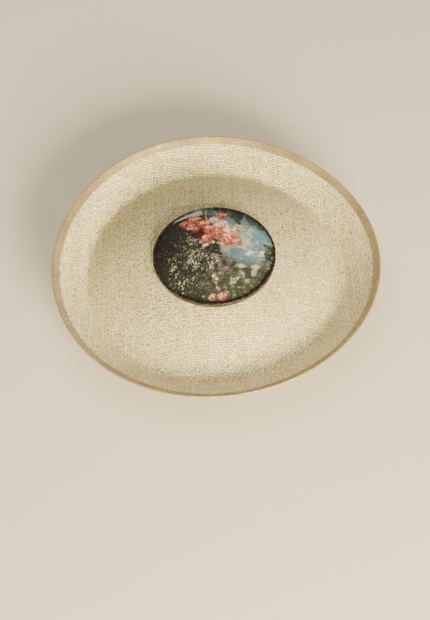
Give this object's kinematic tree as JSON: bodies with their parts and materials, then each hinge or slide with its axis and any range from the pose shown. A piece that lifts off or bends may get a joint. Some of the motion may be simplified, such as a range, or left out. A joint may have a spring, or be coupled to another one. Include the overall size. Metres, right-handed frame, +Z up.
{
  "type": "saucer hat",
  "caption": "Wide round saucer hat in open-weave gold sinamay, with a shallow domed crown, upturned wired brim, glossy domed picture medallion, fitted head cap and hinged comb.",
  "frame": {"origin": "centre of the head cap's flat lower edge, which the hat stands on", "axes": "+Z up along the hat's axis; -Y is the near side in the usual view and +X is the wearer's front"},
  "size_m": [0.4599, 0.46, 0.0988],
  "materials": {
    "sinamay": "open-weave sinamay with gold flecks, stiffened",
    "sinamay_bias": "open-weave sinamay on the bias, stiffened",
    "binding_strip": "folded gold-brown sinamay strip, dense weave",
    "thread": "sewing thread",
    "millinery_wire": "cotton-covered steel wire",
    "brass": "satin brass",
    "steel": "bright drawn steel",
    "buckram": "stiffened buckram",
    "moulded_base": "moulded resin",
    "printed_picture": "printed picture film, garden scene in dark greens, teal and coral",
    "clear_dome": "clear polished resin",
    "dark_rim": "black lacquered rim",
    "cap_sinamay": "blocked sinamay, close weave",
    "cap_lining": "blocked lining ply",
    "petersham": "ribbed petersham ribbon"
  },
  "bodies": {
    "hat": {"upper_ply": "sinamay", "under_ply": "sinamay_bias", "brim_wire": "millinery_wire", "brim_wire_joiner": "brass", "edge_binding": "binding_strip", "binding_stitches": "thread", "crown_stiffener": "buckram", "medallion_base": "moulded_base", "medallion_picture": "printed_picture", "medallion_glaze": "clear_dome", "medallion_rim": "dark_rim", "medallion_screws": "brass", "screw_washers": "steel", "cap_outer_ply": "cap_sinamay", "cap_lining_ply": "cap_lining", "cap_wire": "millinery_wire", "cap_wire_joiner": "brass", "cap_binding": "binding_strip", "cap_tacks": "thread", "headband": "petersham", "headband_stitches": "thread", "ribbon_bow": "petersham", "comb_loops": "thread"},
    "comb": {"comb_spine": "steel", "comb_teeth": "steel"}
  },
  "joints": [
    {"name": "comb_hinge", "type": "hinge", "parent": "hat", "child": "comb", "pos_m": [0, 0.08095, 0.014], "axis": [1, 0, 0], "range_deg": [0, 60]}
  ]
}
